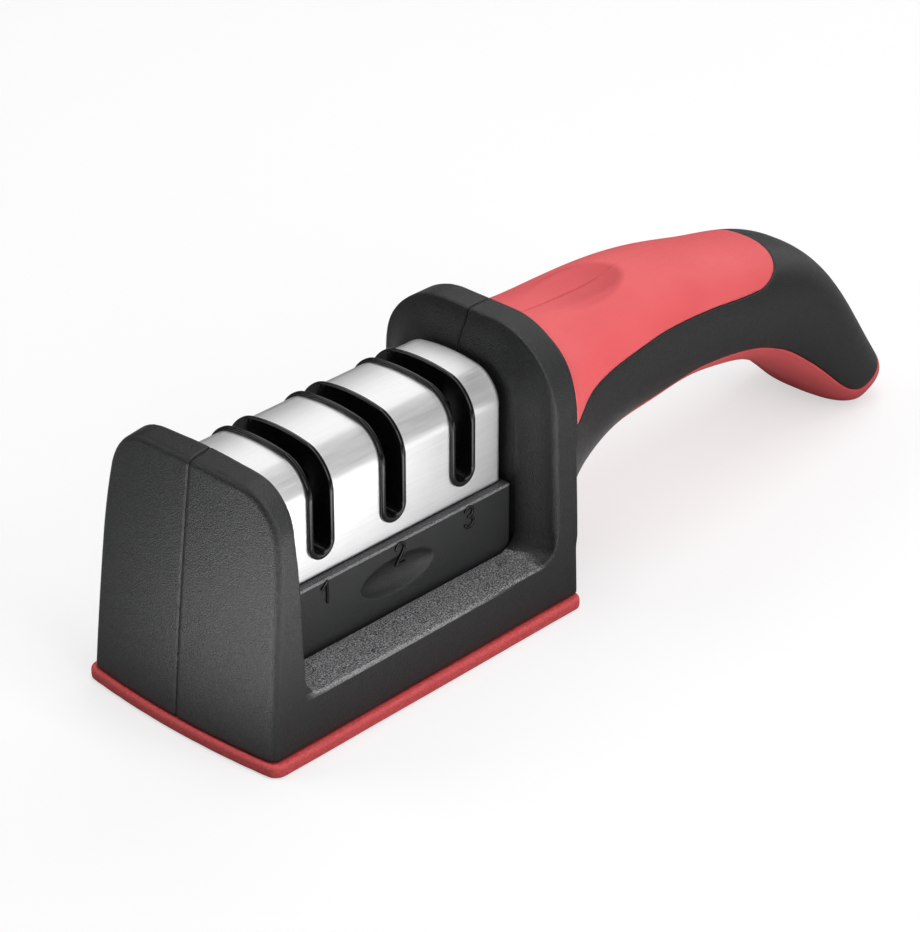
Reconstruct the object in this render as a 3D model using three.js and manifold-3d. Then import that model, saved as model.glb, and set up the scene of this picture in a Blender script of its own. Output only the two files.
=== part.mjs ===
// A hand-held three-stage pull-through knife sharpener.
// Millimetres, +Z up. X runs from the blunt front end of the base (x = 0) to the tail of the
// handle, Y is across, and z = 0 is the underside of the rubber sole. Left is the -Y side.
// The whole model is moved at the end so that its origin is at the middle of its footprint.

import * as THREE from 'three';
import { mergeVertices } from 'three/addons/utils/BufferGeometryUtils.js';
import Module from 'manifold-3d';

const wasm = await Module();
wasm.setup();

// ---------------------------------------------------------------- driving dimensions

const GAP = 0.3;            // clearance between two pieces that touch
const SEAM = 0.15;          // half of the gap between the two housing halves
const FAR = 300;            // larger than the object, for cutting tools

const SOLE = { top: 2.5, frontProud: 0.8, sideProud: 1.2, rearProud: 0.2, screwRecess: 3.4 };
const BASE = {
  front: 0, rear: 81.3, bottom: 2.8, ledge: 13.0, halfWidth: 24.2, bow: 1.5,
  frontCorner: 1.8, rearCorner: 1.6, wall: 2.3, fillet: 4,
};
const FRONT_PILLAR = { rear: 9.9, top: 54.1, corner: 7.5, crown: 0.0033 };
const REAR_PILLAR = { front: 72.1, rear: 81.3, top: 57.5, corner: 15.5, slopeStart: 50.8 };
const WELL = { floor: 7.3, halfWidth: 14.8, wall: 1.8 };
const FLOOR_PLATE = { bottom: 2.8, top: 5.8, inset: 2.7 };
const BASE_SCREW = { xs: [15, 68], y: 18.5, boss: 3.5, shaft: 1.4, head: 2.9, tip: 10.6 };

const CARTRIDGE = {
  x0: 10.3, x1: 71.5, bottom: 7.6, frameBottom: 10.7, shelf: 27.1, halfWidth: 14.5,
  sideWall: 3.2, frontWall: 2.0, rearWall: 2.8, partitions: [32.55, 50.85], partitionWall: 2.4,
};
const SCOOP = { centre: [41.2, 20.4], half: [9, 1.5, 3.2] };   // finger scoop in the cartridge's side
const COVER = { x0: 10.3, x1: 70.7, sheet: 0.8, flank: 12.7, top: 50.9, crown: 0.78, corner: 5.5 };
const STAGES = [23.4, 41.7, 60.0];          // centre of each sharpening slot
const SLOT = { rim: 3.15, body: 2.65, clear: 2.1, bottom: 30.85, floor: 31.8, proud: 0.75, depth: 5 };
const CARTRIDGE_SCREW = {
  shaft: 1.2, hole: 1.5, head: 2.4, headHeight: 1.1, boss: 3.4, bossHalf: 1.7, tip: 19,
};

const ROD = { radius: 2.0, tilt: 20, cross: 30.2, offset: 2.4, low: 19, high: 46.5 };
const ROD_HOLDER = { halfLength: 7.2, halfWidth: 8, top: 27, socket: 18.4 };
const BLADE = { width: 6.6, length: 23, thick: 1.6, tilt: 20, cross: 27 };
const BLADE_HOLDER = { halfLength: 6.8, cheek: 3.8, base: 13, top: 31 };
const BLADE_SCREW = { shaft: 1.5, head: 2.8, headHeight: 1.8, nut: 3.0, nutHeight: 2.2 };

// Handle stations: top line (x, z), underside line (x, z), half width, roundness exponent.
const HANDLE = [
  { top: [81.3, 56.8], under: [81.3, 14.0], half: 22.4, power: 3.0 },
  { top: [85.0, 53.0], under: [84.5, 16.0], half: 20.9, power: 2.7 },
  { top: [92.0, 51.3], under: [91.0, 18.8], half: 18.6, power: 2.5 },
  { top: [104, 52.0], under: [102.2, 22.1], half: 16.5, power: 2.4 },
  { top: [118, 52.1], under: [114.8, 23.0], half: 15.2, power: 2.4 },
  { top: [132, 50.5], under: [127.2, 23.8], half: 14.4, power: 2.3 },
  { top: [146.5, 47.1], under: [139.2, 22.7], half: 14.1, power: 2.3 },
  { top: [162.4, 43.0], under: [150, 20.0], half: 13.7, power: 2.3 },
  { top: [175.5, 33.1], under: [160.5, 14.7], half: 13.9, power: 2.3 },
  { top: [184.9, 19.0], under: [170, 7.9], half: 14.3, power: 2.3 },
  { top: [192, 8.0], under: [176.5, 2.0], half: 14.1, power: 2.3 },
];
const TAIL_CLEAR = 0.15;    // height of the tail's flattened underside above the table
const TAIL_CAP = 4.6;       // how far the rounded tail end stands past the last station
const GRIP = { thick: 2.2, start: 81.7 };
const CORE_WALL = 5.2;      // skin of the handle core under the grips
// Side-view edge of the top grip, and its rounded end seen from above.
const TOP_GRIP_EDGE = [[78, 37.5], [90, 40.8], [100, 42], [115, 42.8], [130, 41.8], [146, 39.8], [160, 38]];
const TOP_GRIP_END = { x: 144.6, length: 12, half: 13.8 };
// Side-view upper edge of the grip under the handle, from its root round to the tail.
const UNDER_GRIP_EDGE = [
  [91, 14], [95, 24.5], [101, 27.6], [110, 28.1], [120, 28.2], [130, 28.8], [139, 28.2], [148, 26.3],
  [158, 21.9], [167, 15.1], [174, 8.6], [178, 5.0], [181.5, 4.4], [185, 6.4], [189, 10], [198, 15],
];
const HANDLE_SCREW = {
  places: [[97, 35], [132, 35], [168, 22]],
  shaft: 1.5, head: 2.9, headHeight: 1.9, recess: 3.4, seat: 7, tip: -8.4, boss: 4,
};

// ---------------------------------------------------------------- materials

const material = (color, roughness, metalness = 0) =>
  new THREE.MeshStandardMaterial({ color, roughness, metalness });
const MATERIALS = {
  abs: material(0x242627, 0.55),
  rubber: material(0xd9484d, 0.7),
  sole: material(0xc33a40, 0.65),
  gloss: material(0x0b0b0c, 0.2),
  steel: material(0xd2d3d4, 0.3, 1),
  zinc: material(0x9a9b9d, 0.4, 1),
  diamond: material(0x77797c, 0.8, 0.5),
  carbide: material(0x55585c, 0.35, 1),
  ceramic: material(0xeeeae0, 0.5),
};

// ---------------------------------------------------------------- solids

function toSolid(geometry) {
  const bare = geometry.clone();
  bare.deleteAttribute('normal');
  bare.deleteAttribute('uv');
  const merged = mergeVertices(bare, 1e-4);
  return new wasm.Manifold(new wasm.Mesh({
    numProp: 3,
    vertProperties: new Float32Array(merged.attributes.position.array),
    triVerts: new Uint32Array(merged.index.array),
  }));
}

function toGeometry(solid) {
  const mesh = solid.getMesh();
  const geometry = new THREE.BufferGeometry();
  geometry.setAttribute('position', new THREE.BufferAttribute(new Float32Array(mesh.vertProperties), 3));
  geometry.setIndex(new THREE.BufferAttribute(new Uint32Array(mesh.triVerts), 1));
  geometry.computeVertexNormals();
  return geometry;
}

const union = (...solids) => solids.reduce((sum, solid) => sum.add(solid));

function box(x0, x1, y0, y1, z0, z1) {
  const geometry = new THREE.BoxGeometry(x1 - x0, y1 - y0, z1 - z0);
  geometry.translate((x0 + x1) / 2, (y0 + y1) / 2, (z0 + z1) / 2);
  return toSolid(geometry);
}

// A round bar between two points.
function bar(from, to, radius, sides = 20) {
  const start = new THREE.Vector3(...from);
  const end = new THREE.Vector3(...to);
  const geometry = new THREE.CylinderGeometry(radius, radius, start.distanceTo(end), sides);
  const direction = end.clone().sub(start).normalize();
  const turn = new THREE.Quaternion().setFromUnitVectors(new THREE.Vector3(0, 1, 0), direction);
  geometry.applyQuaternion(turn);
  geometry.translate(...start.add(end).multiplyScalar(0.5));
  return toSolid(geometry);
}

// An outline pushed along one axis. The outline's own axes are the two world axes named in
// the basis, and the third basis vector is the way it is pushed.
function prism(points, length, basis) {
  const shape = new THREE.Shape(points.map(([a, b]) => new THREE.Vector2(a, b)));
  const geometry = new THREE.ExtrudeGeometry(shape, { depth: length, bevelEnabled: false });
  geometry.applyMatrix4(basis);
  return toSolid(geometry);
}
const X = new THREE.Vector3(1, 0, 0);
const Y = new THREE.Vector3(0, 1, 0);
const Z = new THREE.Vector3(0, 0, 1);
const basisAt = (a, b, c, at) => new THREE.Matrix4().makeBasis(a, b, c).setPosition(...at);
const alongX = (yz, x0, x1) => prism(yz, x1 - x0, basisAt(Y, Z, X, [x0, 0, 0]));
const alongY = (xz, y0, y1) => prism(xz, y1 - y0, basisAt(X, Z, Y.clone().negate(), [0, y1, 0]));
const alongZ = (xy, z0, z1) => prism(xy, z1 - z0, basisAt(X, Y, Z, [0, 0, z0]));

// Closed solid through a list of rings that all have the same number of points.
function loft(rings) {
  const count = rings[0].length;
  const positions = rings.flat(2);
  const faces = [];
  for (let r = 0; r < rings.length - 1; r += 1) {
    for (let i = 0; i < count; i += 1) {
      const a = r * count + i;
      const b = r * count + (i + 1) % count;
      faces.push(a, b, b + count, a, b + count, a + count);
    }
  }
  const cap = (ring, flip) => {
    const centre = positions.length / 3;
    const points = rings[ring];
    for (let k = 0; k < 3; k += 1) positions.push(points.reduce((sum, p) => sum + p[k], 0) / count);
    for (let i = 0; i < count; i += 1) {
      const a = ring * count + i;
      const b = ring * count + (i + 1) % count;
      faces.push(centre, flip ? b : a, flip ? a : b);
    }
  };
  cap(0, true);
  cap(rings.length - 1, false);
  const geometry = new THREE.BufferGeometry();
  geometry.setAttribute('position', new THREE.Float32BufferAttribute(positions, 3));
  geometry.setIndex(faces);
  return toSolid(geometry);
}

// ---------------------------------------------------------------- outlines

function arc(cx, cy, rx, ry, fromDegrees, toDegrees, steps) {
  return Array.from({ length: steps + 1 }, (_, i) => {
    const angle = THREE.MathUtils.degToRad(fromDegrees + (toDegrees - fromDegrees) * i / steps);
    return [cx + rx * Math.cos(angle), cy + ry * Math.sin(angle)];
  });
}

// Plan of the base or a pillar, anticlockwise: a rectangle whose front end bulges by bow.
function plan(front, rear, half, frontCorner, rearCorner, bow) {
  const steps = 4;
  const bulge = (y) => front - bow * (1 - (y / half) ** 2);
  const frontEdge = [0.6, 0.3, 0, -0.3, -0.6].map((t) => [bulge(t * half), t * half]);
  return [
    ...arc(rear - rearCorner, -half + rearCorner, rearCorner, rearCorner, -90, 0, steps),
    ...arc(rear - rearCorner, half - rearCorner, rearCorner, rearCorner, 0, 90, steps),
    ...arc(front + frontCorner, half - frontCorner, frontCorner, frontCorner, 90, 160, steps),
    ...frontEdge,
    ...arc(front + frontCorner, -half + frontCorner, frontCorner, frontCorner, 200, 270, steps),
  ];
}

const atHeight = (points, z) => points.map(([x, y]) => [x, y, z]);

// How far a rounded top corner has come in at height z.
const cornerInset = (z, top, radius) => {
  const rise = Math.max(0, z - (top - radius));
  return radius - Math.sqrt(Math.max(0, radius ** 2 - rise ** 2));
};

// Cross-section of the cartridge's arched cover, grown outwards by grow (or inwards if negative).
function coverArch(grow, bottom) {
  const half = COVER.flank + grow;
  const top = COVER.top + grow;
  const corner = Math.max(0.5, COVER.corner + grow);
  const { crown } = COVER;
  return [
    [-half, bottom], [half, bottom],
    ...arc(half - corner, top - crown - corner, corner, corner, 0, 80, 5),
    [0, top],
    ...arc(-half + corner, top - crown - corner, corner, corner, 100, 180, 5),
  ];
}

// ---------------------------------------------------------------- housing, outside

const LEAN_FROM = 3;        // height at which the front face and flanks start to lean back
const lean = (z) => 0.085 * (z - LEAN_FROM) + 0.0006 * (z - LEAN_FROM) ** 2;

function frontPillar() {
  const { rear, top, corner, crown } = FRONT_PILLAR;
  const flank = (z) => BASE.halfWidth - 0.036 * (z - LEAN_FROM) - 0.004 * Math.max(0, z - 30) ** 2;
  const levels = [BASE.bottom, 14, 26, 36, 42, 47, 50, 52, 53.2, top - 0.1, top];
  const rings = levels.map((z) => {
    const edge = Math.max(0, z - (top - 1.2));
    const half = flank(z) - cornerInset(z, top, corner);
    const setBack = lean(z) + 0.6 * edge ** 2;
    return atHeight(plan(setBack, rear, half, BASE.frontCorner, 0.8, BASE.bow), z);
  });
  const reach = BASE.halfWidth;
  const across = Array.from({ length: 13 }, (_, i) => reach * (1 - i / 6));
  const aboveCrown = [[-reach, top + 1], [reach, top + 1], ...across.map((y) => [y, top - crown * y ** 2])];
  return loft(rings).subtract(alongX(aboveCrown.reverse(), -5, rear + 1));
}

function rearPillar() {
  const { front, rear, top, corner, slopeStart } = REAR_PILLAR;
  const flank = (z) => 23.7 - 0.036 * (z - LEAN_FROM);
  const levels = [BASE.bottom, 20, 42, 45, 48, 50.8, 53, 55, 56.3, 57.1, top];
  const rings = levels.map((z) => {
    const half = flank(z) - cornerInset(z, top, corner);
    const setBack = front + 0.42 * Math.max(0, z - slopeStart);
    return atHeight(plan(setBack, rear, half, 2.6, 0.8, 0), z);
  });
  return loft(rings);
}

function baseBlock() {
  const { front, rear, halfWidth, bottom, ledge, frontCorner, rearCorner, bow } = BASE;
  const low = plan(front, rear, halfWidth, frontCorner, rearCorner, bow);
  const high = plan(front + lean(ledge), rear, halfWidth - 0.4, frontCorner, rearCorner, bow);
  return loft([atHeight(low, bottom), atHeight(high, ledge)]);
}

// Concave fillet between a ledge and a pillar; side is +1 behind the front pillar, -1 before the rear.
function ledgeFillet(x, side) {
  const { fillet, ledge } = BASE;
  const curve = arc(fillet, fillet, fillet, fillet, 180, 270, 5);
  const points = [[-0.5, -0.5], [-0.5, fillet], ...curve, [fillet, -0.5]];
  const placed = points.map(([a, b]) => [x + side * a, ledge + b]);
  if (side > 0) placed.reverse();
  return alongY(placed, -22.6, 22.6);
}

// ---------------------------------------------------------------- handle

// Smooth curve through the stations' values; pick reads one number from a station.
function stationCurve(pick) {
  const points = HANDLE.map((station) => new THREE.Vector3(pick(station), 0, 0));
  const curve = new THREE.CatmullRomCurve3(points, false, 'catmullrom', 0.5);
  return (t) => curve.getPoint(t).x;
}
const handleAt = {
  topX: stationCurve((s) => s.top[0]),
  topZ: stationCurve((s) => s.top[1]),
  underX: stationCurve((s) => s.under[0]),
  underZ: stationCurve((s) => s.under[1]),
  half: stationCurve((s) => s.half),
  power: stationCurve((s) => s.power),
};

// One cross-section of the handle, shrunk inwards by inset: a superellipse between the top
// line and the underside line. Its points run so that a loft towards the tail faces outwards.
function handleSection(t, inset, sides) {
  const at = (name) => handleAt[name](t);
  const height = Math.hypot(at('topX') - at('underX'), at('topZ') - at('underZ')) / 2;
  const shrink = (height - inset) / height;
  const centre = [(at('topX') + at('underX')) / 2, (at('topZ') + at('underZ')) / 2];
  const reach = [(at('topX') - at('underX')) / 2 * shrink, (at('topZ') - at('underZ')) / 2 * shrink];
  const half = at('half') - inset;
  const bend = (v) => Math.sign(v) * Math.abs(v) ** (2 / at('power'));
  return Array.from({ length: sides }, (_, i) => {
    const angle = 2 * Math.PI * i / sides;
    const up = bend(Math.cos(angle));
    return [centre[0] + reach[0] * up, -half * bend(Math.sin(angle)), centre[1] + reach[1] * up];
  });
}

function handleBody(inset, from, to, steps, sides, cap) {
  const rings = [];
  const root = handleSection(0, inset, sides);
  rings.push(root.map(([, y, z]) => [BASE.rear - 5, y, z]));
  for (let i = 0; i <= steps; i += 1) rings.push(handleSection(from + (to - from) * i / steps, inset, sides));
  const last = rings[rings.length - 1];
  const middle = [0, 1, 2].map((k) => last.reduce((sum, p) => sum + p[k], 0) / sides);
  const first = last[0];
  const across = [first[0] - middle[0], first[2] - middle[2]];
  const size = Math.hypot(...across);
  const away = [across[1] / size, 0, -across[0] / size];
  for (const angle of [25, 48, 68, 82].map(THREE.MathUtils.degToRad)) {
    const scale = Math.cos(angle) ** 0.8;
    rings.push(last.map((p) => p.map((v, k) => middle[k] + (v - middle[k]) * scale
      + away[k] * cap * Math.sin(angle))));
  }
  return loft(rings);
}

const handleOuter = handleBody(0, 0, 1, 22, 24, TAIL_CAP)
  .intersect(box(-FAR, FAR, -FAR, FAR, TAIL_CLEAR, FAR));
const handleUnderGrips = (extra) => handleBody(GRIP.thick + extra, 0, 1, 22, 20, TAIL_CAP - GRIP.thick);

// Space that the top grip fills; shrink pulls every edge in, so a negative value leaves clearance.
function topGripSpace(shrink) {
  const edge = TOP_GRIP_EDGE.map(([x, z]) => [x, z + shrink]);
  const side = alongY([...edge, [160, 80], [78, 80]], -FAR, FAR);
  const { x, length, half } = TOP_GRIP_END;
  const start = GRIP.start + shrink;
  const end = arc(x, 0, length - shrink, half - shrink, -90, 90, 10);
  const above = alongZ([[start, -FAR], [x, -FAR], ...end, [x, FAR], [start, FAR]], 0, FAR);
  return side.intersect(above);
}

function underGripSpace(shrink) {
  const edge = UNDER_GRIP_EDGE.map(([x, z]) => [x, z - shrink]);
  const outline = [...edge, [198, -20], [91 + shrink, -20]].reverse();
  return alongY(outline, -FAR, FAR);
}

// ---------------------------------------------------------------- housing halves

function screwBossesAndHoles(halfSide) {
  const { places, boss, shaft, recess, seat, tip } = HANDLE_SCREW;
  const core = handleUnderGrips(GAP);
  const bosses = places.map(([x, z]) => bar([x, -13, z], [x, 13, z], boss, 12).intersect(core));
  const holes = places.map(([x, z]) => bar([x, tip - 0.4, z], [x, 40, z], shaft + GAP, 12));
  const recesses = places.map(([x, z]) => bar([x, seat, z], [x, 40, z], recess, 16));
  const cuts = halfSide > 0 ? [...holes, ...recesses] : holes;
  return { bosses: union(...bosses), cuts: union(...cuts) };
}

function housingCavities() {
  const { wall, front, rear, ledge, bottom } = BASE;
  const frontSpace = [[2.6, 0], [7.6, 0], [7.6, 42], [lean(42) + wall, 42]];
  const rearSpace = box(REAR_PILLAR.front + wall, rear - wall, -19, 19, 0, 40);
  const well = box(FRONT_PILLAR.rear, REAR_PILLAR.front, -WELL.halfWidth, WELL.halfWidth, WELL.floor, FAR);
  const sideSpace = (side) => {
    const inner = side * (WELL.halfWidth + WELL.wall);
    const outer = side * (BASE.halfWidth - wall - 0.5);
    return box(12, 70.5, Math.min(inner, outer), Math.max(inner, outer), 0, ledge - 2);
  };
  const platePocket = alongZ(
    plan(front + FLOOR_PLATE.inset - GAP, rear - FLOOR_PLATE.inset + GAP,
      BASE.halfWidth - FLOOR_PLATE.inset + GAP, 3, 1.5, BASE.bow),
    0, FLOOR_PLATE.top + GAP,
  );
  const handleSpace = handleBody(CORE_WALL, 0, 0.96, 12, 14, 2);
  return union(
    alongY(frontSpace.reverse(), -20, 20), rearSpace, well, sideSpace(1), sideSpace(-1),
    platePocket.subtract(box(-FAR, FAR, -FAR, FAR, -FAR, bottom - 1)), handleSpace,
  );
}

function baseBosses() {
  const { xs, y, boss } = BASE_SCREW;
  const bottom = FLOOR_PLATE.top + GAP;
  const top = BASE.ledge - 1.5;
  return union(...xs.flatMap((x) => [-y, y].map((at) => bar([x, at, bottom], [x, at, top], boss, 12))));
}

function baseHoles(radius, z0, z1) {
  const { xs, y } = BASE_SCREW;
  return union(...xs.flatMap((x) => [-y, y].map((at) => bar([x, at, z0], [x, at, z1], radius, 14))));
}

const housingOuter = union(
  frontPillar(), rearPillar(), baseBlock(),
  ledgeFillet(FRONT_PILLAR.rear, 1), ledgeFillet(REAR_PILLAR.front, -1),
  handleOuter.subtract(topGripSpace(-GAP)).subtract(underGripSpace(-GAP)),
  handleUnderGrips(GAP).intersect(box(BASE.rear - 4, FAR, -FAR, FAR, -FAR, FAR)),
);

// Everything on one side of the parting plane, short of half the seam.
const halfSpace = (side) => (side > 0
  ? box(-FAR, FAR, SEAM, FAR, -FAR, FAR) : box(-FAR, FAR, -FAR, -SEAM, -FAR, FAR));

function housingHalf(side) {
  const { bosses, cuts } = screwBossesAndHoles(side);
  return housingOuter
    .subtract(housingCavities())
    .add(bosses)
    .add(baseBosses())
    .subtract(cuts)
    .subtract(baseHoles(BASE_SCREW.shaft + GAP, 0, BASE_SCREW.tip + 0.5))
    .intersect(halfSpace(side));
}

function grip(space, side) {
  return handleOuter.intersect(space).subtract(handleUnderGrips(0)).intersect(halfSpace(side));
}

// ---------------------------------------------------------------- base

function basePad() {
  const { frontProud, sideProud, rearProud, top, screwRecess } = SOLE;
  const { front, rear, halfWidth, frontCorner, rearCorner, bow } = BASE;
  const outline = plan(
    front - frontProud, rear + rearProud, halfWidth + sideProud, frontCorner + 0.6, rearCorner + 0.6, bow,
  );
  return alongZ(outline, 0, top).subtract(baseHoles(screwRecess, -1, top + 1));
}

function basePlate() {
  const { inset, bottom, top } = FLOOR_PLATE;
  const { front, rear, halfWidth, bow } = BASE;
  const outline = plan(front + inset, rear - inset, halfWidth - inset, 3, 1.5, bow);
  return alongZ(outline, bottom, top).subtract(baseHoles(BASE_SCREW.shaft + GAP, 0, 9));
}

const panHead = (from, to, seat, shaft, head) => bar(from, to, shaft, 10).add(bar(from, seat, head, 14));

function baseScrew(x, y) {
  const { shaft, head, tip } = BASE_SCREW;
  return panHead([x, y, 1.2], [x, y, tip], [x, y, SOLE.top], shaft, head);
}

function handleScrew([x, z]) {
  const { shaft, head, headHeight, seat, tip } = HANDLE_SCREW;
  const under = seat + GAP;
  return panHead([x, under + headHeight, z], [x, tip, z], [x, under, z], shaft, head);
}

// ---------------------------------------------------------------- cartridge

// Shallow oval dimple in the side of the cartridge, for a fingertip.
function scoop(side) {
  const { centre, half } = SCOOP;
  const geometry = new THREE.SphereGeometry(1, 24, 12);
  geometry.scale(...half);
  geometry.translate(centre[0], side * CARTRIDGE.halfWidth, centre[1]);
  return toSolid(geometry);
}

function cartridgeFrame() {
  const { x0, x1, frameBottom, shelf, halfWidth, sideWall, frontWall, rearWall } = CARTRIDGE;
  const { partitions, partitionWall } = CARTRIDGE;
  const { tip, boss, bossHalf, hole } = CARTRIDGE_SCREW;
  const inner = halfWidth - sideWall;
  const block = box(x0, x1, -halfWidth, halfWidth, frameBottom, shelf)
    .subtract(box(x0 + frontWall, x1 - rearWall, -inner, inner, 0, FAR));
  const archUnderCover = coverArch(-COVER.sheet - GAP, frameBottom);
  const walls = [[x0, x0 + frontWall], [COVER.x1 - frontWall, COVER.x1],
    ...partitions.map((x) => [x - partitionWall / 2, x + partitionWall / 2])];
  const screwBosses = partitions.map((x) => bar([x, 0, frameBottom], [x, 0, tip + 1], boss, 14)
    .intersect(box(x - bossHalf, x + bossHalf, -boss, boss, 0, FAR)));
  const screwHoles = partitions.map((x) => bar([x, 0, 0], [x, 0, tip + GAP], hole, 12));
  return union(block, ...walls.map(([a, b]) => alongX(archUnderCover, a, b)), ...screwBosses)
    .subtract(union(...screwHoles)).subtract(scoop(1)).subtract(scoop(-1));
}

function steelCover() {
  const { x0, x1, sheet } = COVER;
  const bottom = CARTRIDGE.shelf + GAP;
  const sheetSolid = alongX(coverArch(0, bottom), x0, x1)
    .subtract(alongX(coverArch(-sheet, bottom - 1), x0 - 1, x1 + 1));
  const slots = STAGES.map((x) => slotOutline(x, SLOT.body + GAP, SLOT.bottom));
  return sheetSolid.subtract(union(...slots));
}

// A slot with a round bottom, cut right across.
function slotOutline(x, half, bottom) {
  const round = arc(x, bottom + half, half, half, 180, 360, 6);
  return alongY([...round, [x + half, 80], [x - half, 80]], -FAR, FAR);
}

function slotGuide(x) {
  const { rim, body, clear, bottom, floor, proud, depth } = SLOT;
  const arch = (grow) => alongX(coverArch(grow, 0), x - rim, x + rim);
  const throat = slotOutline(x, body, bottom + GAP);
  const flange = slotOutline(x, rim, bottom - (rim - body) + GAP).intersect(arch(proud)).subtract(arch(GAP));
  const sleeve = throat.intersect(arch(proud)).subtract(arch(-depth));
  return flange.add(sleeve).subtract(slotOutline(x, clear, floor));
}

function cartridgeFloor() {
  const { x0, x1, bottom, frameBottom, halfWidth, partitions } = CARTRIDGE;
  const { hole, head, headHeight } = CARTRIDGE_SCREW;
  const holes = partitions.map((x) => bar([x, 0, 0], [x, 0, 20], hole, 14)
    .add(bar([x, 0, 0], [x, 0, bottom + headHeight + 2 * GAP], head + GAP, 18)));
  return box(x0, x1, -halfWidth, halfWidth, bottom, frameBottom - GAP).subtract(union(...holes));
}

function cartridgeScrew(x) {
  const { shaft, head, headHeight, tip } = CARTRIDGE_SCREW;
  const bottom = CARTRIDGE.bottom + GAP;
  return panHead([x, 0, bottom], [x, 0, tip], [x, 0, bottom + headHeight], shaft, head);
}

// ---------------------------------------------------------------- abrasives and their holders

const lineAt = (x, cross, tilt, z) => x + (z - cross) * Math.tan(THREE.MathUtils.degToRad(tilt));

// One of two rods that cross in the slot; side is +1 or -1 and sets both lean and place.
function rodSolid(x, side, radius, low, high) {
  const at = (z) => [lineAt(x, ROD.cross, side * ROD.tilt, z), side * ROD.offset, z];
  return bar(at(low), at(high), radius, 14);
}

function rodHolder(x) {
  const { halfLength, halfWidth, top, socket } = ROD_HOLDER;
  const block = box(x - halfLength, x + halfLength, -halfWidth, halfWidth, CARTRIDGE.frameBottom, top);
  const sockets = [1, -1].map((side) => rodSolid(x, side, ROD.radius + GAP, socket, 60));
  return block.subtract(union(...sockets));
}

function bladeOutline(x, side) {
  const { width, length, tilt, cross } = BLADE;
  const angle = THREE.MathUtils.degToRad(side * tilt);
  const corners = [[-1, -1], [1, -1], [1, 1], [-1, 1]].map(([a, b]) => [a * width / 2, b * length / 2]);
  const [c, s] = [Math.cos(angle), Math.sin(angle)];
  return corners.map(([a, b]) => [x + a * c + b * s, cross - a * s + b * c]);
}

function blade(x, side) {
  const near = GAP / 2;
  const far = near + BLADE.thick;
  const [y0, y1] = side > 0 ? [near, far] : [-far, -near];
  const hole = bar([x, -9, BLADE.cross], [x, 9, BLADE.cross], BLADE_SCREW.shaft + GAP, 14);
  return alongY(bladeOutline(x, side), y0, y1).subtract(hole);
}

function bladeHolder(x) {
  const { halfLength, cheek, base, top } = BLADE_HOLDER;
  const inner = BLADE.thick + GAP / 2 + GAP;
  const outer = inner + cheek;
  const block = box(x - halfLength, x + halfLength, -outer, outer, CARTRIDGE.frameBottom, top);
  const slit = box(x - 20, x + 20, -inner, inner, base, FAR);
  const hole = bar([x, -20, BLADE.cross], [x, 20, BLADE.cross], BLADE_SCREW.shaft + GAP, 14);
  return block.subtract(slit).subtract(hole);
}

const HOLDER_FACE = BLADE.thick + GAP / 2 + GAP + BLADE_HOLDER.cheek + GAP;

function bladeScrew(x) {
  const { shaft, head, headHeight, nutHeight } = BLADE_SCREW;
  const end = HOLDER_FACE + nutHeight + 0.4;
  return panHead([x, -HOLDER_FACE - headHeight, BLADE.cross], [x, end, BLADE.cross],
    [x, -HOLDER_FACE, BLADE.cross], shaft, head);
}

function bladeNut(x) {
  const { shaft, nut, nutHeight } = BLADE_SCREW;
  return bar([x, HOLDER_FACE, BLADE.cross], [x, HOLDER_FACE + nutHeight, BLADE.cross], nut, 6)
    .subtract(bar([x, 0, BLADE.cross], [x, 20, BLADE.cross], shaft + GAP, 14));
}

// ---------------------------------------------------------------- the assembly

const sharpener = new THREE.Group();

function add(name, solid, finish) {
  const mesh = new THREE.Mesh(toGeometry(solid), MATERIALS[finish]);
  mesh.name = name;
  sharpener.add(mesh);
}

for (const [name, side] of [['left', -1], ['right', 1]]) {
  add(`housing_${name}`, housingHalf(side), 'abs');
  add(`top_grip_${name}`, grip(topGripSpace(0), side), 'rubber');
  add(`under_grip_${name}`, grip(underGripSpace(0), side), 'rubber');
}
add('base_pad', basePad(), 'sole');
add('base_plate', basePlate(), 'abs');
BASE_SCREW.xs.flatMap((x) => [[x, -BASE_SCREW.y], [x, BASE_SCREW.y]])
  .forEach(([x, y], i) => add(`base_screw_${i + 1}`, baseScrew(x, y), 'zinc'));
HANDLE_SCREW.places.forEach((place, i) => add(`handle_screw_${i + 1}`, handleScrew(place), 'zinc'));

add('cartridge_frame', cartridgeFrame(), 'abs');
add('cartridge_floor', cartridgeFloor(), 'abs');
CARTRIDGE.partitions.forEach((x, i) => add(`cartridge_screw_${i + 1}`, cartridgeScrew(x), 'zinc'));
add('steel_cover', steelCover(), 'steel');
STAGES.forEach((x, i) => add(`slot_guide_${i + 1}`, slotGuide(x), 'gloss'));

const [coarse, middle, fine] = STAGES;
for (const [stage, x, finish] of [['diamond', coarse, 'diamond'], ['ceramic', fine, 'ceramic']]) {
  add(`${stage}_rod_holder`, rodHolder(x), 'abs');
  add(`${stage}_rod_a`, rodSolid(x, -1, ROD.radius, ROD.low, ROD.high), finish);
  add(`${stage}_rod_b`, rodSolid(x, 1, ROD.radius, ROD.low, ROD.high), finish);
}
add('blade_holder', bladeHolder(middle), 'abs');
add('carbide_blade_a', blade(middle, -1), 'carbide');
add('carbide_blade_b', blade(middle, 1), 'carbide');
add('blade_screw', bladeScrew(middle), 'zinc');
add('blade_nut', bladeNut(middle), 'zinc');

// Origin at the middle of the footprint, on the underside of the sole.
const extent = new THREE.Box3().setFromObject(sharpener);
const centre = extent.getCenter(new THREE.Vector3());
sharpener.position.set(-centre.x, -centre.y, -extent.min.z);

export default sharpener;
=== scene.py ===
import math

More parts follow.
